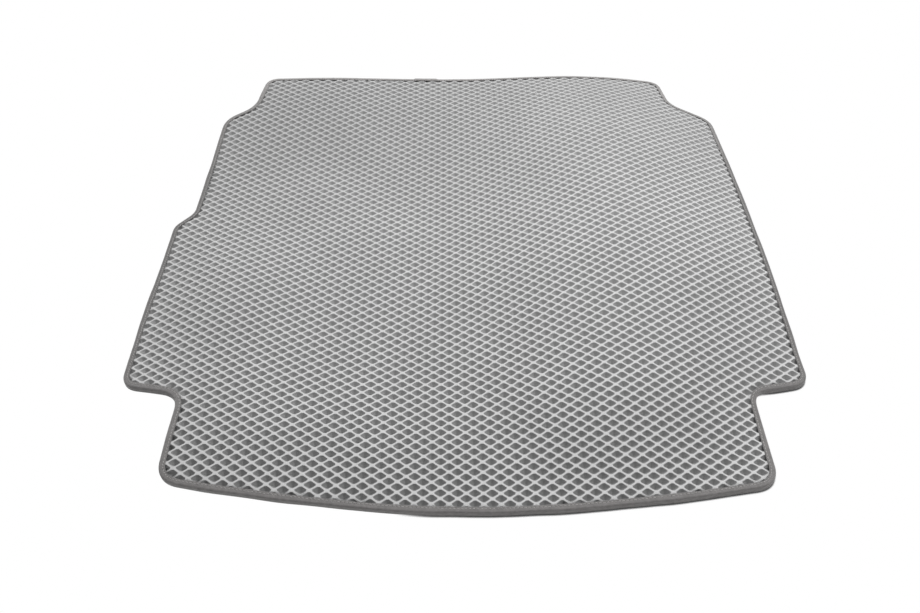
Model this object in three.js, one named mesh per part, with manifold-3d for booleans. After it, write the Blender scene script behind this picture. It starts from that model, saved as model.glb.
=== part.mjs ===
// Car boot liner: one moulded sheet of closed cell foam, cut to the floor of a car boot, with
// diamond pockets in its top and a folded tape sewn round its edge. It lies loose on a level
// floor, as it does after it has been unrolled, with the low waves that rolling leaves in it.
//
// Millimetres. X goes across the boot, Y goes from the bumper to the seats, Z goes up from the
// floor that the liner lies on. A place on the liner before it is laid down is given by how far
// across and along the flat cut pattern it is, and by its level above the middle of the sheet.

import * as THREE from 'three';
import { mergeVertices } from 'three/addons/utils/BufferGeometryUtils.js';
import Module from 'manifold-3d';

const wasm = await Module();
wasm.setup();

// Sheet
const SHEET_THICKNESS = 10;
const FLOOR_THICKNESS = 3.5; // foam left under a pocket
const RIDGE_WIDTH = 2.2; // flat top of a ridge between two pockets
const WALL_SPREAD = 2.2; // how far a pocket wall leans in from its rim to its floor
const CELL_ACROSS = 22; // a real pocket, from point to point across the boot
const CELL_ALONG = 15.4; // and from point to point along it
const CELLS_IN_ONE = 5; // real pockets in a row that one pocket of this model stands for
const LATTICE_TURN = THREE.MathUtils.degToRad(0.7);
const LATTICE_CENTRE = new THREE.Vector2(-12.2, -412.9); // middle of one pocket

// Edge tape and its seam
const TAPE_THICKNESS = 1.2;
const TAPE_COVER = 8.4; // how far the tape reaches in over the sheet, above and below
const TAPE_ROUNDING = 2.4; // at the two folds of the tape
const LAP_LENGTH = 44; // the tape's last end lies over its first one
const LAP_ACROSS = -81; // where on the rear edge the lap is
const LAP_SLOPE = 1.5; // each cut end slopes down over this length
const SEAM_INSET = 2.4; // from the tape's inner edge to the line of stitches
const THREAD_WIDTH = 0.9;
const CLEARANCE = 0.3; // between pieces that touch

// Cut pattern, from its centre line and its middle. A corner is drawn in from the liner's side.
const HALF_WIDTH = 490.5;
const BUMPER_CORNER_LEFT = { drawnIn: 95.5, along: -467, round: 30 };
const BUMPER_CORNER_RIGHT = { drawnIn: 87, along: -457, round: 30 };
const BUMPER_BOW = 40; // the front edge bulges by this much
// Wheel arch notches: from the bumper corner back to the inner corner, and on to the outer one
const NOTCH_LEFT = { back: 142, round: 30, rise: 18, drawnIn: 8 };
const NOTCH_RIGHT = { back: 151, round: 24, rise: 20, drawnIn: 0 };
const SIDE_DRAWS_IN = -190; // the left side draws in from here to its notch
const STEP_LEFT_START = 47; // the left side steps in here
const STEP_LEFT_RUN = 36;
const STEP_LEFT_DEPTH = 26.5;
const SEAT_CORNER_LEFT = { drawnIn: 95, along: 480, round: 24 };
const SEAT_CORNER_RIGHT = { drawnIn: 102, along: 499, round: 24 };
const SEAT_BOW = 9;
// Shoulders: how far out and forward from the seat corner to the inner corner of the shoulder,
// and from there to its outer corner
const SHOULDER_LEFT = { inner: { out: 11.5, forward: 95 }, outer: { out: 52, forward: 39 } };
const SHOULDER_RIGHT = { inner: { out: 9.5, forward: 93.5 }, outer: { out: 76, forward: 39 } };
// The sides start to draw in towards the seats this far forward of the shoulders
const SIDE_BEND_LEFT = 106;
const SIDE_BEND_RIGHT = 196;
const SIDE_BEND_DRAWN_IN = 5; // on the right
const CORNER_ROUND = 24;
const BEND_ROUND = 60;
const STATION_STEP = 78; // longest stretch of the edge between two stations
const CORNER_STEPS = 4;

// Waves that rolling left in the sheet: middle, half width each way, and height
const SWELLS = [
  { across: 266, along: 238, wide: 246, long: 360, high: 62 },
  { across: 222, along: -310, wide: 185, long: 170, high: 28 },
  { across: 262, along: -77, wide: 334, long: 186, high: 28 },
  { across: -324, along: -415, wide: 395, long: 192, high: 34 },
  { across: -345, along: 459, wide: 460, long: 256, high: 45 },
  { across: -371, along: -105, wide: 138, long: 185, high: 26 },
];
const SINK = 13.5; // weight of the sheet: swells lower than this lie flat
const FLATTENING = 8; // how softly a swell leaves the floor
const SHORTENING_STEPS = 24;

const FOAM = { color: 0xbdbcba, roughness: 0.85, metalness: 0 };
const TAPE = { color: 0x77746f, roughness: 0.95, metalness: 0 };
const THREAD = { color: 0x8d8a85, roughness: 0.8, metalness: 0 };

const top = SHEET_THICKNESS / 2;
const bottom = -SHEET_THICKNESS / 2;
const pocketFloor = bottom + FLOOR_THICKNESS;

// Laying the flat pattern down

function swellAt(across, along) {
  let height = -SINK;
  let slopeAcross = 0;
  let slopeAlong = 0;
  for (const swell of SWELLS) {
    const a = (across - swell.across) / swell.wide;
    const b = (along - swell.along) / swell.long;
    const part = swell.high * Math.exp(-a * a - b * b);
    height += part;
    slopeAcross -= (2 * a * part) / swell.wide;
    slopeAlong -= (2 * b * part) / swell.long;
  }
  const over = Math.max(height, 0);
  const give = (over * (over + 2 * FLATTENING)) / (over + FLATTENING) ** 2;
  return {
    height: (over * over) / (over + FLATTENING),
    slopeAcross: slopeAcross * give,
    slopeAlong: slopeAlong * give,
  };
}

// A sheet that rises keeps its length, so it reaches less far: one step at a time from the middle.
function reach(distance, slopeAtShare) {
  let sum = 0;
  for (let i = 0; i < SHORTENING_STEPS; i += 1) {
    const slope = slopeAtShare((i + 0.5) / SHORTENING_STEPS);
    sum += 1 / Math.sqrt(1 + slope * slope);
  }
  return (distance * sum) / SHORTENING_STEPS;
}

function lay(across, along, level) {
  const here = swellAt(across, along);
  const x = reach(across, (share) => swellAt(across * share, along).slopeAcross);
  const y = reach(along, (share) => swellAt(across, along * share).slopeAlong);
  const up = new THREE.Vector3(-here.slopeAcross, -here.slopeAlong, 1).normalize();
  return new THREE.Vector3(x, y, here.height + top).addScaledVector(up, level);
}

// The edge of the cut pattern

const LEFT = -1;
const RIGHT = 1;

function placed(side, { drawnIn, along, round }) {
  return { across: side * (HALF_WIDTH - drawnIn), along, round };
}

const bumperLeft = placed(LEFT, BUMPER_CORNER_LEFT);
const bumperRight = placed(RIGHT, BUMPER_CORNER_RIGHT);
const seatLeft = placed(LEFT, SEAT_CORNER_LEFT);
const seatRight = placed(RIGHT, SEAT_CORNER_RIGHT);

function notch(side, bumperCorner, { back, round, rise, drawnIn }) {
  const along = bumperCorner.along + back;
  return {
    inner: { across: bumperCorner.across, along, round },
    outer: placed(side, { drawnIn, along: along + rise, round: CORNER_ROUND }),
  };
}

function shoulder(side, seatCorner, size) {
  const moved = (from, { out, forward }) => {
    return { across: from.across + side * out, along: from.along - forward, round: CORNER_ROUND };
  };
  const inner = moved(seatCorner, size.inner);
  return { inner, outer: moved(inner, size.outer) };
}

const notchLeft = notch(LEFT, bumperLeft, NOTCH_LEFT);
const notchRight = notch(RIGHT, bumperRight, NOTCH_RIGHT);
const shoulderLeft = shoulder(LEFT, seatLeft, SHOULDER_LEFT);
const shoulderRight = shoulder(RIGHT, seatRight, SHOULDER_RIGHT);
const bendLeft = shoulderLeft.outer.along - SIDE_BEND_LEFT;
const bendRight = shoulderRight.outer.along - SIDE_BEND_RIGHT;
const stepEnd = STEP_LEFT_START + STEP_LEFT_RUN;
const stepRound = CORNER_ROUND / 2;
const corners = [
  bumperLeft,
  bumperRight,
  notchRight.inner,
  notchRight.outer,
  placed(RIGHT, { drawnIn: SIDE_BEND_DRAWN_IN, along: bendRight, round: BEND_ROUND }),
  shoulderRight.outer,
  shoulderRight.inner,
  seatRight,
  seatLeft,
  shoulderLeft.inner,
  shoulderLeft.outer,
  placed(LEFT, { drawnIn: STEP_LEFT_DEPTH, along: bendLeft, round: BEND_ROUND }),
  placed(LEFT, { drawnIn: STEP_LEFT_DEPTH, along: stepEnd, round: stepRound }),
  placed(LEFT, { drawnIn: 0, along: STEP_LEFT_START, round: stepRound }),
  placed(LEFT, { drawnIn: 0, along: SIDE_DRAWS_IN, round: BEND_ROUND }),
  notchLeft.outer,
  notchLeft.inner,
];
const bows = new Map([
  [bumperLeft, BUMPER_BOW],
  [seatRight, SEAT_BOW],
]);

function alongEdge(from, to, distance) {
  const a = new THREE.Vector2(from.across, from.along);
  const run = new THREE.Vector2(to.across, to.along).sub(a);
  const share = distance / run.length();
  const outwards = new THREE.Vector2(run.y, -run.x).normalize();
  const bow = (bows.get(from) ?? 0) * 4 * share * (1 - share);
  return a.addScaledVector(run, share).addScaledVector(outwards, bow);
}

function edgeLength(from, to) {
  return Math.hypot(to.across - from.across, to.along - from.along);
}

// Stations on one side between its two rounded corners, and what the tape's lap adds at each.
function sideStations(from, to) {
  const free = edgeLength(from, to) - from.round - to.round;
  const steps = Math.max(1, Math.ceil(free / STATION_STEP));
  const regular = Array.from({ length: steps - 1 }, (_, k) => {
    return { distance: from.round + (free * (k + 1)) / steps, lap: 0 };
  });
  if (from !== seatRight) return regular;
  const start = from.across - LAP_ACROSS - LAP_LENGTH / 2;
  const end = start + LAP_LENGTH;
  return [
    ...regular.filter((station) => station.distance < start - LAP_SLOPE),
    { distance: start - LAP_SLOPE, lap: 0 },
    { distance: start, lap: TAPE_THICKNESS },
    { distance: end, lap: TAPE_THICKNESS },
    { distance: end + LAP_SLOPE, lap: 0 },
    ...regular.filter((station) => station.distance > end + LAP_SLOPE),
  ];
}

function cutEdge() {
  const edge = [];
  corners.forEach((corner, i) => {
    const before = corners.at(i - 1);
    const after = corners[(i + 1) % corners.length];
    const start = alongEdge(before, corner, edgeLength(before, corner) - corner.round);
    const end = alongEdge(corner, after, corner.round);
    const middle = new THREE.Vector2(corner.across, corner.along);
    const rounding = new THREE.QuadraticBezierCurve(start, middle, end).getPoints(CORNER_STEPS);
    edge.push(...rounding.map((point) => ({ point, lap: 0 })));
    for (const { distance, lap } of sideStations(corner, after)) {
      edge.push({ point: alongEdge(corner, after, distance), lap });
    }
  });
  return edge;
}

// Stations round the edge: a point, the way in from it, and how much the lap adds there.
function edgeStations() {
  const edge = cutEdge();
  return edge.map(({ point, lap }, i) => {
    const run = edge[(i + 1) % edge.length].point.clone().sub(edge.at(i - 1).point);
    return { point, lap, inwards: new THREE.Vector2(-run.y, run.x).normalize() };
  });
}

const stations = edgeStations();

function inFrom(station, inset) {
  return station.point.clone().addScaledVector(station.inwards, inset);
}

// Solids

function toGeometry(positions, indices) {
  const geometry = new THREE.BufferGeometry();
  geometry.setAttribute('position', new THREE.Float32BufferAttribute(positions, 3));
  geometry.setIndex(indices);
  return geometry;
}

function toManifold(geometry) {
  const bare = geometry.clone();
  bare.deleteAttribute('normal');
  bare.deleteAttribute('uv');
  const merged = mergeVertices(bare, 1e-4);
  const mesh = new wasm.Mesh({
    numProp: 3,
    vertProperties: new Float32Array(merged.attributes.position.array),
    triVerts: new Uint32Array(merged.index.array),
  });
  return new wasm.Manifold(mesh);
}

function fromManifold(solid) {
  const mesh = solid.getMesh();
  return toGeometry(Array.from(mesh.vertProperties), Array.from(mesh.triVerts));
}

// A section carried round the edge. The section lists insets and levels, clockwise as seen when
// looking along the edge with the sheet on the left.
function sweepRound(sectionAt) {
  const positions = [];
  const indices = [];
  const count = sectionAt(stations[0]).length;
  stations.forEach((station, i) => {
    for (const [inset, level] of sectionAt(station)) {
      const place = inFrom(station, inset);
      positions.push(...lay(place.x, place.y, level).toArray());
    }
    const next = (i + 1) % stations.length;
    for (let k = 0; k < count; k += 1) {
      const a = i * count + k;
      const b = i * count + ((k + 1) % count);
      const c = next * count + k;
      const d = next * count + ((k + 1) % count);
      indices.push(a, c, b, b, c, d);
    }
  });
  return toGeometry(positions, indices);
}

// Pocket lattice: corner (i, j) is where ridge i of one family crosses ridge j of the other.
const halfAcross = (CELL_ACROSS * CELLS_IN_ONE) / 2;
const halfAlong = (CELL_ALONG * CELLS_IN_ONE) / 2;

function latticePoint(i, j) {
  const place = new THREE.Vector2((i - j) * halfAcross, (i + j - 1) * halfAlong);
  return place.rotateAround(new THREE.Vector2(), LATTICE_TURN).add(LATTICE_CENTRE);
}

function pocketRing(i, j, inset) {
  const around = [[i, j], [i + 1, j], [i + 1, j + 1], [i, j + 1]];
  const ring = around.map(([a, b]) => latticePoint(a, b));
  const middle = ring[0].clone().add(ring[2]).multiplyScalar(0.5);
  const reachOfSide = (halfAcross * halfAlong) / Math.hypot(halfAcross, halfAlong);
  return ring.map((point) => point.clone().lerp(middle, inset / reachOfSide));
}

const pattern = new THREE.Box2().setFromPoints(stations.map((station) => station.point));
pattern.expandByVector(new THREE.Vector2(halfAcross, halfAlong));

function coversPattern(i, j) {
  return pattern.containsPoint(latticePoint(i + 0.5, j + 0.5));
}

function pocketField() {
  const positions = [];
  const indices = [];
  const push = (points, level) => {
    const first = positions.length / 3;
    for (const p of points) positions.push(...lay(p.x, p.y, level).toArray());
    return points.map((_, k) => first + k);
  };
  const band = (outer, inner) => {
    for (let k = 0; k < 4; k += 1) {
      const n = (k + 1) % 4;
      indices.push(outer[k], outer[n], inner[k], inner[k], outer[n], inner[n]);
    }
  };
  const size = pattern.getSize(new THREE.Vector2());
  const count = Math.ceil(size.x / halfAcross + size.y / halfAlong);
  for (let i = -count; i <= count; i += 1) {
    for (let j = -count; j <= count; j += 1) {
      if (!coversPattern(i, j)) continue;
      const rim = push(pocketRing(i, j, 0), top);
      const mouth = push(pocketRing(i, j, RIDGE_WIDTH / 2), top);
      const floor = push(pocketRing(i, j, RIDGE_WIDTH / 2 + WALL_SPREAD), pocketFloor);
      const under = push(pocketRing(i, j, 0), bottom);
      band(rim, mouth);
      band(mouth, floor);
      indices.push(floor[0], floor[1], floor[2], floor[0], floor[2], floor[3]);
      indices.push(under[0], under[2], under[1], under[0], under[3], under[2]);
      const beside = [[i, j - 1], [i + 1, j], [i, j + 1], [i - 1, j]];
      beside.forEach(([ni, nj], k) => {
        if (coversPattern(ni, nj)) return;
        const n = (k + 1) % 4;
        indices.push(rim[k], under[k], rim[n], rim[n], under[k], under[n]);
      });
    }
  }
  return toGeometry(positions, indices);
}

// A block with the pattern's outline, drawn in by an inset: its wall stands square to the laid
// sheet, and its two ends are flat and well clear of it.
function patternBlock(inset) {
  const clear = SHEET_THICKNESS * 20;
  const ringAt = (level) => stations.map((station) => {
    const place = inFrom(station, inset);
    return lay(place.x, place.y, level);
  });
  const lower = ringAt(-SHEET_THICKNESS);
  const upper = ringAt(SHEET_THICKNESS);
  const flatten = (ring, z) => ring.map((point) => new THREE.Vector3(point.x, point.y, z));
  const rings = [flatten(lower, -clear), lower, upper, flatten(upper, clear)];
  const count = stations.length;
  const indices = [];
  for (let r = 0; r < rings.length - 1; r += 1) {
    for (let k = 0; k < count; k += 1) {
      const n = (k + 1) % count;
      const [low, high] = [r * count, (r + 1) * count];
      indices.push(low + k, low + n, high + k, high + k, low + n, high + n);
    }
  }
  const capOf = (ring) => {
    return THREE.ShapeUtils.triangulateShape(ring.map((p) => new THREE.Vector2(p.x, p.y)), []);
  };
  const last = (rings.length - 1) * count;
  for (const [p, q, r] of capOf(rings[0])) indices.push(r, q, p);
  for (const [p, q, r] of capOf(rings.at(-1))) indices.push(last + p, last + q, last + r);
  return toGeometry(rings.flat().flatMap((point) => point.toArray()), indices);
}

function cellSheet() {
  const sheetEdge = TAPE_THICKNESS + CLEARANCE;
  const fullFrom = TAPE_COVER + CLEARANCE;
  const rimInner = fullFrom + RIDGE_WIDTH;
  const rimTop = top - sheetEdge;
  const rimBottom = bottom + sheetEdge;
  const rim = sweepRound(() => [
    [sheetEdge, rimBottom],
    [sheetEdge, rimTop],
    [rimInner, rimTop],
    [rimInner, rimBottom],
  ]);
  const field = toManifold(pocketField());
  const trimmed = field.intersect(toManifold(patternBlock(fullFrom)));
  return fromManifold(trimmed.add(toManifold(rim)));
}

function edgeTape() {
  const inner = TAPE_THICKNESS;
  const fold = TAPE_ROUNDING;
  return sweepRound(({ lap }) => [
    [TAPE_COVER, bottom],
    [fold, bottom],
    [-lap, bottom + fold],
    [-lap, top + lap - fold],
    [fold - lap, top + lap],
    [TAPE_COVER, top + lap],
    [TAPE_COVER, top - inner],
    [inner, top - inner],
    [inner, bottom + inner],
    [TAPE_COVER, bottom + inner],
  ]);
}

function seamThread() {
  const middle = TAPE_COVER - SEAM_INSET;
  const low = top + CLEARANCE;
  return sweepRound(({ lap }) => [
    [middle - THREAD_WIDTH / 2, low + lap],
    [middle, low + lap + THREAD_WIDTH / 2],
    [middle + THREAD_WIDTH / 2, low + lap],
  ]);
}

function piece(name, geometry, finish) {
  geometry.computeVertexNormals();
  const mesh = new THREE.Mesh(geometry, new THREE.MeshStandardMaterial(finish));
  mesh.name = name;
  return mesh;
}

const liner = new THREE.Group();
liner.add(piece('cell_sheet', cellSheet(), FOAM));
liner.add(piece('edge_tape', edgeTape(), TAPE));
liner.add(piece('seam_thread', seamThread(), THREAD));

// The frame's origin is under the middle of the whole liner.
const box = new THREE.Box3().setFromObject(liner);
const middle = box.getCenter(new THREE.Vector3());
liner.position.set(-middle.x, -middle.y, -box.min.z);

export default liner;
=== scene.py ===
# %% [markdown]
# A car boot liner: one moulded sheet of grey foam with diamond pockets in its top, a fabric tape
# folded round its cut edge, and a line of stitches that holds the tape on. It is flexible, and
# rolling it up has left low waves in it.
#
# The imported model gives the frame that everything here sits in. Its three solids are simple: the
# sheet has one large pocket for every five rows of real ones. In this file each of them gets its
# real detail, in the same place.

import bpy
import numpy as np
from mathutils import Matrix, Vector
from mathutils.kdtree import KDTree


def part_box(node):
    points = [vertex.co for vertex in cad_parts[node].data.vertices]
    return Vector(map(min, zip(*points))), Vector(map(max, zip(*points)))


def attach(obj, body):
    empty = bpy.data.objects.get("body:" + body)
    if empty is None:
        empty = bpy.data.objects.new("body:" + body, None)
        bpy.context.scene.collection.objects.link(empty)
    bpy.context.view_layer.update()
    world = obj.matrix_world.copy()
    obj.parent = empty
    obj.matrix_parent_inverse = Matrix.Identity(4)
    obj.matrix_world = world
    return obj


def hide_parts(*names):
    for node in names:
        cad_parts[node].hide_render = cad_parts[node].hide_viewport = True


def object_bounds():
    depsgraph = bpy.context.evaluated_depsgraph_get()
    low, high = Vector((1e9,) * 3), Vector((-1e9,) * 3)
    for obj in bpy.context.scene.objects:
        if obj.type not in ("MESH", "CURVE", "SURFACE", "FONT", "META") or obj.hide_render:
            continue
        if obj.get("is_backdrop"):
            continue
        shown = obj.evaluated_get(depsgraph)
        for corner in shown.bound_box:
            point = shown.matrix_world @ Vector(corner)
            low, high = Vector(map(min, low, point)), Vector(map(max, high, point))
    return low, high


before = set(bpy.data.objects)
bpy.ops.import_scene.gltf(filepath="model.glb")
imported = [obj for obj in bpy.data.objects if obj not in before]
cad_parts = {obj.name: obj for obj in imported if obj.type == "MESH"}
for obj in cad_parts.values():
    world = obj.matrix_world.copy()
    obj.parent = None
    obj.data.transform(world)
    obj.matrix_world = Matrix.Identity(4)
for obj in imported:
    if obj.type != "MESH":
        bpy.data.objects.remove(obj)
cad_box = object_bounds()
MM = 0.001
print("nodes:", ", ".join(sorted(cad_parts)))

# %% [markdown]
# The liner is cut from a flat sheet, so it is easiest to draw it flat and lay it down at the end.
# A place on the flat pattern has three numbers: how far across the boot, how far along it, and the
# level above the middle of the sheet. All of them are in millimetres, as on the cutting table.
#
# First come the waves. Each is a soft round swell, and the sheet's own weight presses the lowest
# ones flat on the floor. Where the sheet rises it keeps its length, so it reaches less far: that
# is worked out in small steps from the middle.

# %% The waves, and laying the pattern down
SHEET_THICKNESS = 10
SWELLS = [  # across, along, half width, half length, height
    (266, 238, 246, 360, 62),
    (222, -310, 185, 170, 28),
    (262, -77, 334, 186, 28),
    (-324, -415, 395, 192, 34),
    (-345, 459, 460, 256, 45),
    (-371, -105, 138, 185, 26),
]
SINK = 13.5  # how far the feet of the swells are lowered below the floor
FLATTENING = 8  # how softly the sheet meets the floor, larger is softer
SHORTENING_STEPS = 24
TOP = SHEET_THICKNESS / 2
BOTTOM = -SHEET_THICKNESS / 2


def swell_at(across, along):
    """Height of the sheet above the floor, and its slope each way."""
    height = np.full(np.shape(across), -float(SINK))
    slope_across = np.zeros_like(height)
    slope_along = np.zeros_like(height)
    for middle_across, middle_along, wide, long, high in SWELLS:
        a = (across - middle_across) / wide
        b = (along - middle_along) / long
        part = high * np.exp(-a * a - b * b)
        height += part
        slope_across -= 2 * a * part / wide
        slope_along -= 2 * b * part / long
    over = np.maximum(height, 0)
    give = over * (over + 2 * FLATTENING) / (over + FLATTENING) ** 2
    return over * over / (over + FLATTENING), slope_across * give, slope_along * give


def lay(points):
    """Points of the flat pattern (across, along, level), laid down on the floor."""
    across, along, level = points.T
    reach_across = np.zeros_like(across)
    reach_along = np.zeros_like(along)
    for step in range(SHORTENING_STEPS):
        share = (step + 0.5) / SHORTENING_STEPS
        slope = swell_at(across * share, along)[1]
        reach_across += 1 / np.sqrt(1 + slope * slope)
        slope = swell_at(across, along * share)[2]
        reach_along += 1 / np.sqrt(1 + slope * slope)
    height, slope_across, slope_along = swell_at(across, along)
    place = np.stack(
        [
            across * reach_across / SHORTENING_STEPS,
            along * reach_along / SHORTENING_STEPS,
            height + TOP,
        ],
        axis=1,
    )
    up = np.stack([-slope_across, -slope_along, np.ones_like(height)], axis=1)
    up /= np.linalg.norm(up, axis=1, keepdims=True)
    return place + up * level[:, None]


first_across, first_along = np.array(SWELLS[0][:2], float)[:, None]
first_lift = swell_at(first_across, first_along)[0][0]
print(f"the highest wave lifts the sheet by about {first_lift:.0f} mm")

# %% [markdown]
# The outline follows the boot floor: a bulging front edge, a notch at each wheel arch, a small
# step in the left side, and two shoulders that narrow it at the seats. A cutter would note only
# the corners and how round each is. The rounding is a quadratic curve from one side to the next,
# and two of the edges bow outwards.

# %% The outline of the cut pattern
CORNERS = [  # across, along, rounding, and how far the edge after this corner bows out
    (-395, -467, 30, 40),
    (403.5, -457, 30, 0),
    (403.5, -306, 24, 0),
    (490.5, -286, 24, 0),
    (485.5, 170.5, 60, 0),
    (474, 366.5, 24, 0),
    (398, 405.5, 24, 0),
    (388.5, 499, 24, 9),
    (-395.5, 480, 24, 0),
    (-407, 385, 24, 0),
    (-459, 346, 24, 0),
    (-464, 240, 60, 0),
    (-464, 83, 12, 0),
    (-490.5, 47, 12, 0),
    (-490.5, -190, 60, 0),
    (-482.5, -307, 24, 0),
    (-395, -325, 30, 0),
]
EDGE_STEP = 2.5
CORNER_POINTS = 25


def edge_ends(corner):
    """The two corners of the edge that starts at this corner."""
    start = np.array(CORNERS[corner % len(CORNERS)][:2], float)
    end = np.array(CORNERS[(corner + 1) % len(CORNERS)][:2], float)
    return start, end


def edge_length(corner):
    start, end = edge_ends(corner)
    return np.linalg.norm(end - start)


def along_edge(corner, distance):
    """A point on the edge that starts at this corner, so far along it."""
    start, end = edge_ends(corner)
    run = end - start
    length = edge_length(corner)
    share = distance / length
    outwards = np.array([run[1], -run[0]]) / length
    bow = CORNERS[corner % len(CORNERS)][3] * 4 * share * (1 - share)
    return start + run * share + outwards * bow


def rough_outline():
    points = []
    for i, (across, along, rounding, _) in enumerate(CORNERS):
        corner = np.array([across, along], float)
        start = along_edge(i - 1, edge_length(i - 1) - rounding)
        end = along_edge(i, rounding)
        for t in np.linspace(0, 1, CORNER_POINTS):
            points.append((1 - t) ** 2 * start + 2 * t * (1 - t) * corner + t * t * end)
        free = edge_length(i) - rounding - CORNERS[(i + 1) % len(CORNERS)][2]
        for share in np.linspace(0, 1, max(2, int(free)))[1:-1]:
            points.append(along_edge(i, rounding + free * share))
    return np.array(points)


def even_ring(points, step):
    """The same closed line with its points a step apart, and how far round each one is."""
    closed = np.vstack([points, points[:1]])
    lengths = np.r_[0, np.cumsum(np.linalg.norm(np.diff(closed, axis=0), axis=1))]
    count = int(round(lengths[-1] / step))
    round_at = np.arange(count) * lengths[-1] / count
    even = np.stack([np.interp(round_at, lengths, closed[:, k]) for k in (0, 1)], axis=1)
    return even, round_at, lengths[-1]


edge, edge_at, edge_round = even_ring(rough_outline(), EDGE_STEP)
run = np.roll(edge, -1, axis=0) - np.roll(edge, 1, axis=0)
inwards = np.stack([-run[:, 1], run[:, 0]], axis=1)
inwards /= np.linalg.norm(inwards, axis=1, keepdims=True)
print(f"the cut edge is {edge_round / 1000:.2f} m long, with {len(edge)} stations")

# %% [markdown]
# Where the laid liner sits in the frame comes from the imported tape: the middle of its box is the
# middle of the laid outline, and its lowest point is on the floor.

# %% Place the laid liner in the frame


def ring_at(inset, level):
    """A ring round the pattern, drawn in by an inset, at one level."""
    flat = edge + inwards * inset
    return np.column_stack([flat, np.full(len(flat), float(level))])


sides = np.vstack([lay(ring_at(0, BOTTOM)), lay(ring_at(0, TOP))])
tape_low, tape_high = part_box("edge_tape")
shift = (np.array(tape_low) + np.array(tape_high)) / 2 / MM
shift -= (sides.min(axis=0) + sides.max(axis=0)) / 2
shift[2] = 0


def in_frame(flat_points):
    """Flat pattern points to places in the frame, in metres."""
    return (lay(flat_points) + shift) * MM


print("shift into the frame, mm:", [round(float(s), 2) for s in shift])

# %% [markdown]
# Every mesh here is written as a list of points and a list of faces, because the pattern's own
# measures give them directly. One helper makes the object. It shades it smoothly, since foam,
# tape and thread are all soft.

# %% Make an object from points and faces


def make_object(name, points, faces):
    mesh = bpy.data.meshes.new(name)
    mesh.from_pydata([tuple(p) for p in points], [], faces)
    mesh.update()
    mesh.validate()
    mesh.shade_smooth()
    piece = bpy.data.objects.new(name, mesh)
    bpy.context.scene.collection.objects.link(piece)
    return piece


# %% [markdown]
# The pockets are pressed in with a heated die, so all are alike: a diamond whose points lie across
# and along the boot, with leaning walls that end in a small dished floor. One pocket takes the
# corners of its lattice cell, a mouth drawn in by half a ridge, the foot of its walls, and its
# deepest point. The mouth's corners are cut off, and smooth shading rounds the walls below them,
# while the mouth itself stays a crisp edge under a slightly crowned ridge.
#
# An array modifier could repeat one pocket, but its copies would have to be welded and would not
# bend with the sheet. Writing the mesh row by row lets neighbours share their lattice corners.

# %% The pocket field, still flat
CELL_ACROSS = 22
CELL_ALONG = 15.4
RIDGE_WIDTH = 2.2
RIDGE_CROWN = 0.25  # how far the middle of a ridge stands above its edges
WALL_SPREAD = 4.2
WALL_FOOT = 0.4  # how far the foot of the walls is above the deepest point
FLOOR_THICKNESS = 3.5
MOUTH_CORNER = 0.17  # share of a side that a cut corner takes
LATTICE_TURN = np.radians(0.7)
LATTICE_CENTRE = np.array([-12.2, -412.9])
DEEPEST = BOTTOM + FLOOR_THICKNESS
half_across, half_along = CELL_ACROSS / 2, CELL_ALONG / 2
side_reach = half_across * half_along / np.hypot(half_across, half_along)
turn = np.array(
    [
        [np.cos(LATTICE_TURN), -np.sin(LATTICE_TURN)],
        [np.sin(LATTICE_TURN), np.cos(LATTICE_TURN)],
    ]
)


def lattice_point(i, j):
    return turn @ np.array([(i - j) * half_across, (i + j - 1) * half_along]) + LATTICE_CENTRE


def cut_corners(diamond, share):
    """Eight points: each corner of the diamond gives way to one point on either side of it."""
    points = []
    for k in range(4):
        before, after = diamond[k - 1], diamond[(k + 1) % 4]
        points.append(diamond[k] + (before - diamond[k]) * share)
        points.append(diamond[k] + (after - diamond[k]) * share)
    return points


def pocket_field():
    """A closed slab with pockets in its top, a little larger than the pattern."""
    low, high = edge.min(axis=0) - CELL_ACROSS, edge.max(axis=0) + CELL_ACROSS
    reach = int((high - low).sum() / half_along / 2) + 4
    cells = set()
    for i in range(-reach, reach):
        for j in range(-reach, reach):
            middle = lattice_point(i + 0.5, j + 0.5)
            if (middle > low).all() and (middle < high).all():
                cells.add((i, j))
    points, faces, shared = [], [], {}

    def add(place, level):
        points.append((place[0], place[1], level))
        return len(points) - 1

    def at_lattice(i, j, level):
        if (i, j, level) not in shared:
            shared[i, j, level] = add(lattice_point(i, j), level)
        return shared[i, j, level]

    for i, j in sorted(cells):
        around = [(i, j), (i + 1, j), (i + 1, j + 1), (i, j + 1)]
        diamond = np.array([lattice_point(a, b) for a, b in around])
        middle = diamond.mean(axis=0)
        rim = [at_lattice(a, b, TOP) for a, b in around]
        under = [at_lattice(a, b, BOTTOM) for a, b in around]
        sides = []
        for inset in (RIDGE_WIDTH / 2, RIDGE_WIDTH / 2 + WALL_SPREAD):
            sides.append(diamond + (middle - diamond) * inset / side_reach)
        mouth = [add(p, TOP - RIDGE_CROWN) for p in cut_corners(sides[0], MOUTH_CORNER)]
        foot = [add(p, DEEPEST + WALL_FOOT) for p in sides[1]]
        deepest = add(middle, DEEPEST)
        for k in range(4):
            n = (k + 1) % 4
            faces.append((rim[k], rim[n], mouth[2 * n], mouth[2 * k + 1]))
            faces.append((rim[k], mouth[2 * k + 1], mouth[2 * k]))
            faces.append((mouth[2 * k], mouth[2 * k + 1], foot[k]))
            faces.append((mouth[2 * k + 1], mouth[2 * n], foot[n], foot[k]))
            faces.append((foot[k], foot[n], deepest))
        faces.append(tuple(reversed(under)))
        beside = [(i, j - 1), (i + 1, j), (i, j + 1), (i - 1, j)]
        for k, other in enumerate(beside):
            if other not in cells:
                n = (k + 1) % 4
                faces.append((under[k], under[n], rim[n], rim[k]))
    print(f"{len(cells)} pockets in the field, {len(points)} points")
    return make_object("pocket_field", points, faces)


field = pocket_field()

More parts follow.
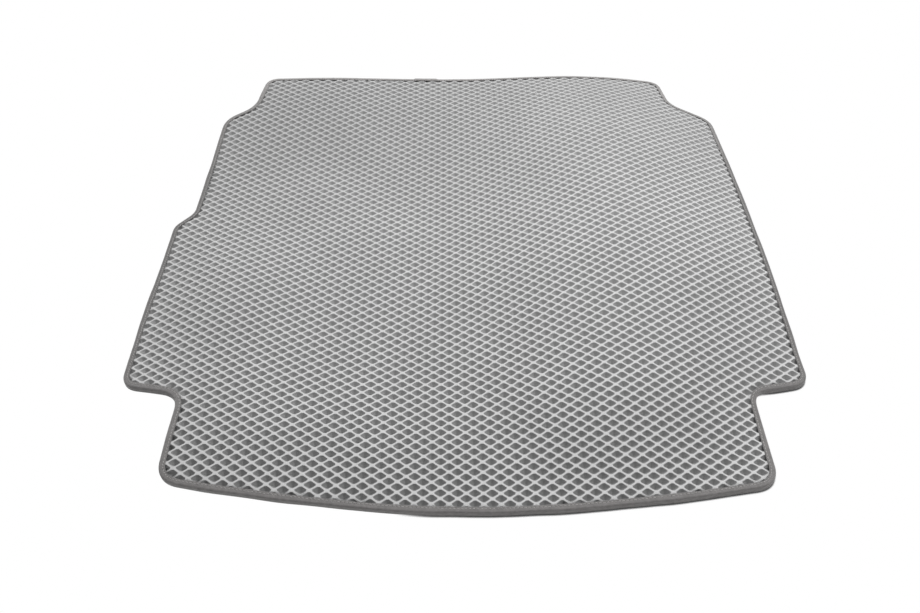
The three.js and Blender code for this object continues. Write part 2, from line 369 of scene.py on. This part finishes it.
# %% [markdown]
# The field is now cut to the pattern, as the maker does with a knife. Inside the tape it keeps its
# full thickness. Under the tape the seam squeezes the foam, so a thinner band of it runs on to the
# cut edge. Both cutters are rings of the outline, and the three parts are joined into one solid.
# Cutting while all is flat keeps the cuts square to the sheet.

# %% Cut the field to the pattern
TAPE_THICKNESS = 1.2
TAPE_COVER = 8.4
CLEARANCE = 0.3  # between the foam and the tape
OVERLAP = 0.2  # what the two parts of the foam share before they are joined
BLOCK_MARGIN = 5  # how far the cutter stands out above and below
SQUEEZED = TOP - TAPE_THICKNESS - CLEARANCE  # level of the foam's faces under the tape


def band_faces(count, width):
    """The faces of a closed band: so many sections round the pattern, of so many points each."""
    faces = []
    for i in range(count):
        n = (i + 1) % count
        for k in range(width):
            m = (k + 1) % width
            faces.append((i * width + k, n * width + k, n * width + m, i * width + m))
    return faces


def sweep(name, section):
    """A closed band round the pattern. The section lists (inset, level) clockwise."""
    rings = [ring_at(inset, level) for inset, level in section]
    points = np.stack(rings, axis=1).reshape(-1, 3)
    return make_object(name, points, band_faces(len(edge), len(section)))


def prism(name, inset, low, high):
    """A flat block with the pattern's outline, drawn in by an inset."""
    points = np.vstack([ring_at(inset, low), ring_at(inset, high)])
    count = len(edge)
    faces = [tuple(reversed(range(count))), tuple(range(count, 2 * count))]
    for k in range(count):
        n = (k + 1) % count
        faces.append((k, n, count + n, count + k))
    return make_object(name, points, faces)


def cut(piece, operation, other):
    """Joins or cuts with the exact shapes, and leaves the plain mesh of the result."""
    modifier = piece.modifiers.new(operation, "BOOLEAN")
    modifier.operation = operation
    modifier.solver = "MANIFOLD"
    modifier.object = other
    bpy.context.view_layer.update()
    made = bpy.data.meshes.new_from_object(
        piece.evaluated_get(bpy.context.evaluated_depsgraph_get())
    )
    piece.modifiers.clear()
    piece.data = made


full_block = prism(
    "full_block", TAPE_COVER + CLEARANCE, BOTTOM - BLOCK_MARGIN, TOP + BLOCK_MARGIN
)
squeezed_band = sweep(
    "squeezed_band",
    [
        (TAPE_THICKNESS + CLEARANCE, -SQUEEZED),
        (TAPE_THICKNESS + CLEARANCE, SQUEEZED),
        (TAPE_COVER + CLEARANCE + OVERLAP, SQUEEZED),
        (TAPE_COVER + CLEARANCE + OVERLAP, -SQUEEZED),
    ],
)
rim = field.copy()
rim.data = field.data.copy()
bpy.context.scene.collection.objects.link(rim)
cut(rim, "INTERSECT", squeezed_band)
cut(field, "INTERSECT", full_block)
cut(field, "UNION", rim)
for helper in (full_block, squeezed_band, rim):
    bpy.data.objects.remove(helper)
print(f"the cut sheet has {len(field.data.polygons)} faces")

# %% [markdown]
# The flat sheet gives three measures of each point: its place on the pattern, its depth in a
# pocket, and how near it is to the tape. Then every point is laid down, and the measures are stored
# on the mesh, where the foam's finish reads them to paint shade into the pockets and beside the
# tape. The ridges dip slightly where the tape's edge presses on them, and the edges of the mouths
# are marked sharp, so that smooth shading stops there.

# %% Lay the sheet down
EDGE_DIP = 0.7
EDGE_DIP_WIDTH = 7
SHADE_BAND = 2  # width of the strip beside the tape where painted shade darkens the cut pockets


def points_of(piece):
    flat = np.empty(len(piece.data.vertices) * 3)
    piece.data.vertices.foreach_get("co", flat)
    return flat.reshape(-1, 3)


def set_points(piece, points):
    piece.data.vertices.foreach_set("co", np.asarray(points, np.float32).ravel())
    piece.data.update()


def store(piece, name, kind, values):
    """Keeps a number or a place for each point of a mesh, for the finishes to read."""
    attribute = piece.data.attributes.new(name, kind, "POINT")
    part = "vector" if kind == "FLOAT_VECTOR" else "value"
    attribute.data.foreach_set(part, np.asarray(values, np.float32).ravel())


edge_tree = KDTree(len(edge))
for k, (across, along) in enumerate(edge):
    edge_tree.insert((across, along, 0), k)
edge_tree.balance()


def inset_of(points):
    return np.array([edge_tree.find((p[0], p[1], 0))[2] for p in points])


flat_sheet = points_of(field)
depth = (TOP - flat_sheet[:, 2]) / (TOP - DEEPEST)
depth[depth > 1.01] = 0  # the underside has the colour of the ridges
near = inset_of(flat_sheet)
ends = np.empty(len(field.data.edges) * 2, int)
field.data.edges.foreach_get("vertices", ends)
at_mouth = np.abs(flat_sheet[:, 2] - (TOP - RIDGE_CROWN)) < 0.01
crisp = at_mouth[ends.reshape(-1, 2)].all(axis=1)
closeness = np.clip(1 - (near - TAPE_COVER - CLEARANCE) / EDGE_DIP_WIDTH, 0, 1)
pressed = EDGE_DIP * closeness**2 * np.clip(1 - depth, 0, 1)
pressed[near < TAPE_COVER] = 0
flat_sheet[:, 2] -= pressed
set_points(field, in_frame(flat_sheet))

sheet = field
sheet.name = sheet.data.name = "foam_sheet"
beside = np.clip(1 - (near - TAPE_COVER - CLEARANCE) / SHADE_BAND, 0, 1)
store(sheet, "pocket_depth", "FLOAT", np.clip(depth, 0, 1))
store(sheet, "beside_tape", "FLOAT", beside)
store(sheet, "flat_place", "FLOAT_VECTOR", flat_sheet * MM)
sheet.data.shade_smooth()
sharp = sheet.data.attributes.new("sharp_edge", "BOOLEAN", "EDGE")
sharp.data.foreach_set("value", crisp)
sheet.data.calc_loop_triangles()
print(f"foam sheet: {len(sheet.data.loop_triangles)} triangles")

# %% [markdown]
# The tape is a woven ribbon folded over the edge. Its section is a narrow C with two rounded
# folds: outer face first, then back along the inside. It is swept round the outline, and where
# its last end lies over its first, the outer face rises by one thickness. The seam pulls it down
# a little between the stitches, and its cut edge is never quite straight.

# %% The edge tape
TAPE_ROUNDING = 2.4
LAP_LENGTH = 44
LAP_ACROSS = -81
LAP_SLOPE = 1.5
SEAM_INSET = 2.4
SEAM_WIDTH = 1.1  # of the groove that the stitches pull into the tape
SEAM_DEPTH = 0.1  # of that groove, all along
SEAM_PULL = 0.28  # how much deeper it is at a needle hole
STITCH_PITCH = 5.0
STITCH_LENGTH = 3.7
FOLD_STEPS = 5
TOP_FACE_POINTS = 7
CUT_EDGE_WANDER = (0.35, 9)  # how far this part of the tape strays, and over what length
FOLD_WANDER = (0.6, 45)
TOP_WANDER = (0.18, 14)
SIDE_WANDER = (0.25, 22)
SIDE_REACH = 4  # how far above and below the middle the side's own wander is felt
SEAT_EDGE_FROM = CORNERS[8][1] - 30  # the lap lies on the edge at the seats, beyond this
rng = np.random.default_rng(7)
draws = rng.uniform(-1, 1, (6, 4000))  # one row for each kind of unevenness


def stray(wander, seed_row):
    """How far the tape strays all along the edge: a smooth line that meets itself."""
    size, wavelength = wander
    count = max(3, int(edge_round / wavelength))
    knots = seed_row[:count]
    at = edge_at / edge_round * count
    low = np.floor(at).astype(int)
    t = at - low
    t = t * t * (3 - 2 * t)
    return size * (knots[low % count] * (1 - t) + knots[(low + 1) % count] * t)


seat_side = edge[:, 1] > SEAT_EDGE_FROM
lap_start = LAP_ACROSS + LAP_LENGTH / 2
lap_share = np.clip((lap_start - edge[:, 0]) / LAP_SLOPE + 1, 0, 1)
lap_share *= np.clip((edge[:, 0] - lap_start + LAP_LENGTH) / LAP_SLOPE + 1, 0, 1)
lap = TAPE_THICKNESS * lap_share * seat_side
stitch_count = int(round(edge_round / STITCH_PITCH))
stitch_pitch = edge_round / stitch_count
between = np.cos(2 * np.pi * edge_at / stitch_pitch) * 0.5 + 0.5  # 1 at a needle hole


def tape_section():
    """(inset, level, side) of each point, side 1 on the outer face and 0 on the inner one."""
    r = TAPE_ROUNDING
    t = TAPE_THICKNESS
    turns = np.linspace(0, np.pi / 2, FOLD_STEPS)
    section = [(TAPE_COVER, BOTTOM, 1)]
    section += [(r - r * np.sin(a), BOTTOM + r - r * np.cos(a), 1) for a in turns]
    section += [(0, 0, 1)]
    section += [(r - r * np.cos(a), TOP - r + r * np.sin(a), 1) for a in turns]
    for inset in np.linspace(r, TAPE_COVER, TOP_FACE_POINTS)[1:]:
        section.append((inset, TOP, 1))
    inner = r - t
    section.append((TAPE_COVER, TOP - t, 0))
    section += [
        (t + inner - inner * np.sin(a), TOP - t - inner + inner * np.cos(a), 0)
        for a in turns[::2]
    ]
    section += [
        (t + inner - inner * np.cos(a), BOTTOM + t + inner - inner * np.sin(a), 0)
        for a in turns[::2]
    ]
    section.append((TAPE_COVER, BOTTOM + t, 0))
    return np.array(section)


section = tape_section()
seam_at = TAPE_COVER - SEAM_INSET
rings = []
for inset, level, outer in section:
    ring = ring_at(inset, level)
    reach_in = inset / TAPE_COVER
    ring[:, :2] += inwards * (reach_in**2 * stray(CUT_EDGE_WANDER, draws[0]))[:, None]
    ring[:, :2] += inwards * ((1 - reach_in) * stray(FOLD_WANDER, draws[5]))[:, None]
    if outer:
        ring[:, :2] -= inwards * (lap * (1 - reach_in))[:, None]
        if level > 0:
            ring[:, 2] += lap * min(1, level / TOP)
            pulled = np.exp(-(((inset - seam_at) / SEAM_WIDTH) ** 2))
            ring[:, 2] -= (SEAM_PULL * between + SEAM_DEPTH) * pulled
            ring[:, 2] += stray(TOP_WANDER, draws[1]) * reach_in
        side = np.exp(-((level / SIDE_REACH) ** 2)) if inset < TAPE_ROUNDING else 0
        ring[:, :2] -= inwards * (side * stray(SIDE_WANDER, draws[2]))[:, None]
    rings.append(ring)
tape_points = np.stack(rings, axis=1)
width = len(section)
tape_faces = band_faces(len(edge), width)
tape = make_object("fabric_tape", in_frame(tape_points.reshape(-1, 3)), tape_faces)
girth = np.r_[0, np.cumsum(np.linalg.norm(np.diff(section[:, :2], axis=0), axis=1))]
weave_place = np.zeros((len(edge), width, 3))
weave_place[:, :, 0] = edge_at[:, None] * MM
weave_place[:, :, 1] = girth[None, :] * MM
weave_place[:, :, 2] = edge[:, 1][:, None] * MM  # how near the seats, for the darker sides and the painted sheen
store(tape, "weave_place", "FLOAT_VECTOR", weave_place)

# %% [markdown]
# The seam is a row of lock stitches. Each shows as a short length of thread that comes up through
# a needle hole and goes down through the next, so it is a low arch. Seven rings of six points
# make one stitch, and all stitches are one object, because they are one thread.

# %% The stitches
THREAD_WIDTH = 0.9
THREAD_RINGS = 7
THREAD_SIDES = 6
THREAD_NARROWED = 0.55  # share of the width that is left at a needle hole
THREAD_FLATNESS = 0.8
HOLE_DEPTH = 0.38
ARCH_HEIGHT = 0.5
STITCH_WANDER = 0.16
STITCH_SLANT = 0.5


def at_round(distance, inset, level):
    """Flat pattern points that far round the edge."""
    distance = np.mod(distance, edge_round)
    share = distance / edge_round * len(edge)
    low = np.floor(share).astype(int) % len(edge)
    t = (share - np.floor(share))[:, None]
    high = (low + 1) % len(edge)
    place = edge[low] * (1 - t) + edge[high] * t
    inward = inwards[low] * (1 - t) + inwards[high] * t
    rise = lap[low] * (1 - t[:, 0]) + lap[high] * t[:, 0]
    return np.column_stack([place + inward * np.asarray(inset)[:, None], level + rise])


thread_points, thread_faces = [], []
for s in range(stitch_count):
    start = (s + 0.5 - 0.5 * STITCH_LENGTH / stitch_pitch) * stitch_pitch
    t = np.linspace(0, 1, THREAD_RINGS)
    arch = np.sin(np.pi * t)
    radius = THREAD_WIDTH / 2 * (THREAD_NARROWED + (1 - THREAD_NARROWED) * arch**0.5)
    sideways = STITCH_WANDER * draws[3, s] + (t - 0.5) * STITCH_SLANT * draws[4, s]
    first = len(thread_points) * THREAD_RINGS * THREAD_SIDES
    block = []
    for a in np.arange(THREAD_SIDES) / THREAD_SIDES * 2 * np.pi:
        inset = seam_at + sideways + radius * np.cos(a)
        level = TOP - HOLE_DEPTH + ARCH_HEIGHT * arch**0.7
        level = level + radius * np.sin(a) * THREAD_FLATNESS
        block.append(at_round(start + t * STITCH_LENGTH, inset, level))
    thread_points.append(np.stack(block, axis=1).reshape(-1, 3))
    for r in range(THREAD_RINGS - 1):
        for k in range(THREAD_SIDES):
            m = (k + 1) % THREAD_SIDES
            a = first + r * THREAD_SIDES
            b = a + THREAD_SIDES
            thread_faces.append((a + k, b + k, b + m, a + m))
    ends = first + (THREAD_RINGS - 1) * THREAD_SIDES
    thread_faces.append(tuple(first + k for k in range(THREAD_SIDES)))
    thread_faces.append(tuple(ends + k for k in reversed(range(THREAD_SIDES))))
thread = make_object("seam_stitches", in_frame(np.vstack(thread_points)), thread_faces)
print(f"{stitch_count} stitches, {stitch_pitch:.2f} mm apart")

# %% [markdown]
# Next come the finishes. Each is a small tree of nodes, and a few helpers keep it short: one adds
# a node and sets its values, one joins two sockets, and one looks up what was stored on the mesh.
# The others each make one common step, such as a ramp of colours or one colour times another.

# %% Helpers for the finishes


def new_finish(name):
    finish = bpy.data.materials.new(name)
    finish.use_nodes = True
    finish.node_tree.nodes.clear()
    return finish, finish.node_tree


def node(tree, kind, **values):
    made = tree.nodes.new(kind)
    for name, value in values.items():
        if name in made.inputs:
            made.inputs[name].default_value = value
        else:
            setattr(made, name, value)
    return made


def join(tree, start, end):
    tree.links.new(start, end)


def stored(tree, name, output="Fac"):
    return node(tree, "ShaderNodeAttribute", attribute_name=name).outputs[output]


def ramp(tree, source, stops):
    """A colour for each value. The stops list (value, grey) or (value, (red, green, blue))."""
    made = node(tree, "ShaderNodeValToRGB")
    marks = made.color_ramp.elements
    while len(marks) < len(stops):
        marks.new(0.5)
    for mark, (at, grey) in zip(marks, stops):
        mark.position = at
        mark.color = (*grey, 1) if isinstance(grey, tuple) else (grey, grey, grey, 1)
    join(tree, source, made.inputs["Fac"])
    return made.outputs["Color"]


def grain(tree, place, scale, detail=2.0):
    made = node(tree, "ShaderNodeTexNoise", Scale=scale, Detail=detail)
    join(tree, place, made.inputs["Vector"])
    return made.outputs["Fac"]


def one_way(tree, place, axis):
    """One of the three numbers of a place."""
    made = node(tree, "ShaderNodeSeparateXYZ")
    join(tree, place, made.inputs["Vector"])
    return made.outputs[axis]


def share_between(tree, source, low, high):
    """How far a value has come from low to high, as 0 to 1."""
    made = node(tree, "ShaderNodeMapRange")
    join(tree, source, made.inputs["Value"])
    made.inputs["From Min"].default_value = low
    made.inputs["From Max"].default_value = high
    return made.outputs["Result"]


def times(tree, first, second, amount=1.0):
    """One colour times another. The amount is a number or a socket, and 0 keeps the first."""
    made = node(tree, "ShaderNodeMix", data_type="RGBA", blend_type="MULTIPLY")
    if isinstance(amount, float):
        made.inputs["Factor"].default_value = amount
    else:
        join(tree, amount, made.inputs["Factor"])
    join(tree, first, made.inputs[6])
    join(tree, second, made.inputs[7])
    return made.outputs[2]


def show(tree, surface):
    join(tree, surface.outputs[0], node(tree, "ShaderNodeOutputMaterial").inputs["Surface"])


print("helpers are ready")

# %% [markdown]
# The foam is a pale neutral grey, matt, with a very fine closed skin. The tops of the ridges are
# the palest, and painted shade darkens the walls with depth, fastest just below the mouth. More
# painted shade darkens the pockets towards the bumper and beside the tape, and the end at the seats
# is painted slightly darker, as shade.
#
# A painted image could show the same shading. Ramps over what the mesh has stored do it in a few
# lines, stay sharp in a close view, and are easy to change.

# %% Foam finish
BUMPER_END = -0.48  # along the pattern, in metres
SEAT_END = 0.5
MOUTH_DEPTH = 0.04  # as shares of a pocket's depth
WALL_DEPTH = 0.07
foam, tree = new_finish("grey_foam")
place = stored(tree, "flat_place", "Vector")
depth_here = stored(tree, "pocket_depth")
towards_seats = share_between(tree, one_way(tree, place, "Y"), BUMPER_END, SEAT_END)
inside = share_between(tree, depth_here, MOUTH_DEPTH, WALL_DEPTH)
# The foam's own grey on the ridges, with painted shade that darkens the walls with depth.
grey_and_painted_pocket_shade = ramp(
    tree,
    depth_here,
    [(0.0, 0.72), (MOUTH_DEPTH, 0.69), (WALL_DEPTH, 0.62), (0.3, 0.52), (0.85, 0.5), (1.0, 0.42)],
)
# Painted shade: the pocket walls are darker towards the bumper.
painted_shade_towards_bumper = ramp(tree, towards_seats, [(0.0, 0.57), (0.3, 0.77), (0.6, 0.86), (0.8, 0.95)])
# Painted shade in the cut pockets beside the tape.
painted_shade_beside_tape = ramp(tree, stored(tree, "beside_tape"), [(0.0, 1.0), (0.5, 0.95), (1.0, 0.7)])
# Painted shade: the whole foam is slightly darker at the seat end.
painted_shade_at_seats = ramp(tree, towards_seats, [(0.55, 1.0), (0.95, 0.87)])
mottle = ramp(tree, grain(tree, place, 9), [(0.3, 0.95), (0.7, 1.0)])
speck = ramp(tree, grain(tree, place, 700, 3), [(0.35, 0.9), (0.65, 1.0)])
colour = times(tree, grey_and_painted_pocket_shade, times(tree, painted_shade_towards_bumper, painted_shade_beside_tape), inside)
for layer in (painted_shade_at_seats, mottle, speck):
    colour = times(tree, colour, layer)
skin = node(tree, "ShaderNodeBump", Strength=0.25, Distance=0.0002)
join(tree, grain(tree, place, 900, 3), skin.inputs["Height"])
shader = node(tree, "ShaderNodeBsdfPrincipled", Roughness=0.75)
shader.inputs["Specular IOR Level"].default_value = 0.2
join(tree, colour, shader.inputs["Base Color"])
join(tree, skin.outputs["Normal"], shader.inputs["Normal"])
show(tree, shader)
print("finish:", foam.name)

# %% [markdown]
# The tape is a plain woven polyester. Its ribs run across it, about one a millimetre, and finer
# warp threads run along it. Two wave textures in the tape's own measure give both, and they also
# colour it slightly, because the gaps between threads are darker.
#
# Its side and upper fold are painted paler than its top face, as painted sheen, and its lower fold
# is painted dark, as painted shade. It is darker along the long sides, and the edge at the seats is
# painted paler, as painted sheen from the back lamp.

# %% Tape finish
RIBS_PER_METRE = 950
WARPS_PER_METRE = 1500
WAVE_SCALE = 2 * np.pi / 20  # the wave texture's own scale for one band a metre
TAPE_GIRTH = 0.025  # about the width of the tape, in metres
TAPE_END = 0.48  # how far the painted sheen's measure runs each way along the pattern
tape_finish, tree = new_finish("woven_tape")
place = stored(tree, "weave_place", "Vector")


def threads(tree, place, direction, per_metre):
    made = node(
        tree,
        "ShaderNodeTexWave",
        wave_type="BANDS",
        bands_direction=direction,
        Scale=per_metre * WAVE_SCALE,
        Distortion=0.6,
        Detail=1.0,
    )
    made.inputs["Detail Scale"].default_value = 3.0
    join(tree, place, made.inputs["Vector"])
    return made.outputs["Fac"]


ribs = ramp(tree, threads(tree, place, "X", RIBS_PER_METRE), [(0.0, 0.15), (1.0, 1.0)])
warp = ramp(tree, threads(tree, place, "Y", WARPS_PER_METRE), [(0.0, 0.4), (1.0, 1.0)])
weave_height = times(tree, ribs, warp, 0.6)
round_fold = share_between(tree, one_way(tree, place, "Y"), 0.0, TAPE_GIRTH)
towards_seats = share_between(tree, one_way(tree, place, "Z"), -TAPE_END, TAPE_END)
colour = ramp(tree, weave_height, [(0.0, (0.268, 0.252, 0.247)), (1.0, (0.65, 0.624, 0.615))])
# Painted light and shade: side and upper fold paler as painted sheen, lower fold darker as shade.
painted_fold_light_and_shade = ramp(tree, round_fold, [(0.3, 0.3), (0.4, 1.0), (0.62, 1.0), (0.75, 0.74)])
# Darker along the long sides, and paler at the seat end as painted sheen from the back lamp.
darker_sides_and_painted_sheen = ramp(
    tree,
    towards_seats,
    [(0.1, 0.57), (0.22, 0.48), (0.5, 0.38), (0.7, 0.41), (0.9, 0.7), (1.0, 1.0)],
)
mottle = ramp(tree, grain(tree, place, 170, 4), [(0.35, 0.76), (0.65, 1.0)])
for layer in (painted_fold_light_and_shade, darker_sides_and_painted_sheen, mottle):
    colour = times(tree, colour, layer)
bumps = node(tree, "ShaderNodeBump", Strength=0.6, Distance=0.0004)
join(tree, weave_height, bumps.inputs["Height"])
shader = node(tree, "ShaderNodeBsdfPrincipled", Roughness=0.6)
shader.inputs["Sheen Weight"].default_value = 0.45
join(tree, colour, shader.inputs["Base Color"])
join(tree, bumps.outputs["Normal"], shader.inputs["Normal"])
show(tree, shader)
print("finish:", tape_finish.name)

# %% [markdown]
# The thread is twisted polyester, a shade paler than the tape. Its twist is too small to model, so
# a fine noise gives its light and dark.

# %% Thread finish
thread_finish, tree = new_finish("polyester_thread")
coords = node(tree, "ShaderNodeTexCoord").outputs["Object"]
twist = ramp(
    tree,
    grain(tree, coords, 1400),
    [(0.35, (0.38, 0.37, 0.36)), (0.65, (0.58, 0.57, 0.56))],
)
shader = node(tree, "ShaderNodeBsdfPrincipled", Roughness=0.6)
join(tree, twist, shader.inputs["Base Color"])
show(tree, shader)
print("finish:", thread_finish.name)

# %% [markdown]
# Each piece gets its finish, rides on the liner's one body and takes the place of its plain solid.
# The solid gets the same finish, so it looks right where it is shown alone.

for piece, finish, cad_node, slot in (
    (sheet, foam, "cell_sheet", "foam"),
    (tape, tape_finish, "edge_tape", "tape"),
    (thread, thread_finish, "seam_thread", "thread"),
):
    piece.data.materials.clear()
    piece.data.materials.append(finish)
    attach(piece, "root")
    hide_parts(cad_node)
    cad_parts[cad_node].data.materials.clear()
    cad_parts[cad_node].data.materials.append(finish)
print("pieces:", sheet.name, tape.name, thread.name)

# %% [markdown]
# The camera looks down at the liner from in front of it, at about the height of someone who
# stands at the open boot. Its place was found by matching the lattice in the picture.

# %% Camera
CAMERA_PLACE = Vector(np.array([-14.7, -1109.1, 978.1]) + shift) * MM
LOOKING = Vector((0.0037, 0.7083, -0.7059))
CAMERA_UP = Vector((-0.0092, 0.7059, 0.7083))
LENS_LENGTH = 35
SENSOR_WIDTH = 36
lens = bpy.data.cameras.new("camera")
lens.lens = LENS_LENGTH
lens.sensor_width = SENSOR_WIDTH
lens.clip_start, lens.clip_end = 0.01, 50
camera = bpy.data.objects.new("camera", lens)
bpy.context.scene.collection.objects.link(camera)
right = LOOKING.cross(CAMERA_UP).normalized()
up = right.cross(LOOKING).normalized()
axes = Matrix((right, up, -LOOKING.normalized())).transposed().to_4x4()
camera.matrix_world = Matrix.Translation(CAMERA_PLACE) @ axes
bpy.context.scene.camera = camera
print("camera at", [round(v, 3) for v in CAMERA_PLACE])

# %% [markdown]
# The floor is pale and plain. To the camera it glows an even white, except close to the liner,
# where a soft contact shadow is painted into the glow. Light that bounces off it sees an ordinary
# pale floor.

# %% Floor
FLOOR_HALF = 6.0
FLOOR_DROP = 0.0004
SHADOW_REACH = 0.004  # how far from the liner its contact shadow shows
floor_corners = [(-1, -1), (1, -1), (1, 1), (-1, 1)]
floor = make_object(
    "floor",
    [(x * FLOOR_HALF, y * FLOOR_HALF, -FLOOR_DROP) for x, y in floor_corners],
    [(0, 1, 2, 3)],
)


def seen_plainly(tree):
    """1 for what the eye sees, straight or in a glossy or clear surface; 0 for bounced light."""
    path = node(tree, "ShaderNodeLightPath")
    total = path.outputs["Is Camera Ray"]
    for ray in ("Is Glossy Ray", "Is Transmission Ray"):
        either = node(tree, "ShaderNodeMath", operation="MAXIMUM")
        join(tree, total, either.inputs[0])
        join(tree, path.outputs[ray], either.inputs[1])
        total = either.outputs[0]
    return total


def seen_or_lit(tree, lit, seen):
    """One surface for bounced light, and another for the eye."""
    either = node(tree, "ShaderNodeMixShader")
    join(tree, seen_plainly(tree), either.inputs[0])
    join(tree, lit.outputs[0], either.inputs[1])
    join(tree, seen.outputs[0], either.inputs[2])
    return either


floor_finish, tree = new_finish("pale_floor")
plain = node(tree, "ShaderNodeBsdfDiffuse", Color=(0.9, 0.9, 0.9, 1))
near_liner = node(tree, "ShaderNodeAmbientOcclusion", Distance=SHADOW_REACH)
# A painted contact shadow: the glow darkens where the liner hides the floor.
shade = ramp(tree, near_liner.outputs["AO"], [(0.0, 0.02), (0.55, 0.08), (0.85, 1.0)])
glow = node(tree, "ShaderNodeEmission", Strength=1.0)
join(tree, shade, glow.inputs["Color"])
show(tree, seen_or_lit(tree, plain, glow))
floor.data.materials.append(floor_finish)
floor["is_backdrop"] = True
print(f"the floor is {2 * FLOOR_HALF:.0f} m wide")

# %% [markdown]
# The backdrop is the world itself. The eye sees it white, as it sees the floor, and the liner gets
# only a little light from it. Both are settings of the world, so no lamp has to be turned up.

# %% Air and backdrop
AIR_STRENGTH = 0.22
world = bpy.data.worlds.new("studio")
bpy.context.scene.world = world
world.use_nodes = True
tree = world.node_tree
tree.nodes.clear()
air = node(tree, "ShaderNodeBackground", Color=(1, 1, 1, 1), Strength=AIR_STRENGTH)
white = node(tree, "ShaderNodeBackground", Color=(1, 1, 1, 1), Strength=1.0)
either = seen_or_lit(tree, air, white)
join(tree, either.outputs[0], node(tree, "ShaderNodeOutputWorld").inputs["Surface"])
print("the air's light:", AIR_STRENGTH)

# %% [markdown]
# Two soft lamps light the liner. A large one stands far behind it and high up, so the far walls of
# the pockets stay in shade and the near ones catch the light. A small one hangs over it, a little
# to the right. The air fills the rest.

# %% Lamps


def soft_lamp(name, place, aim, size, watts):
    lamp = bpy.data.lights.new(name, "AREA")
    lamp.shape = "DISK"
    lamp.size = size
    lamp.energy = watts
    made = bpy.data.objects.new(name, lamp)
    made.location = place
    made.rotation_euler = (Vector(aim) - Vector(place)).to_track_quat("-Z", "Y").to_euler()
    bpy.context.scene.collection.objects.link(made)


soft_lamp("overhead_lamp", (0.45, 0.0, 1.5), (0.1, 0, 0), 0.9, 12.5)
soft_lamp("back_lamp", (0.2, 5.5, 4.1), (0, 0, 0), 2.7, 285)
bpy.context.scene.view_settings.view_transform = "Standard"

# %% [markdown]
# Last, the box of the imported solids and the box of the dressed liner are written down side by
# side, so that a difference in size shows at once.

shown_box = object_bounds()
for name, (low, high) in (("CAD", cad_box), ("visual", shown_box)):
    print(name, "size, mm:", [round((h - l) / MM, 1) for l, h in zip(low, high)])
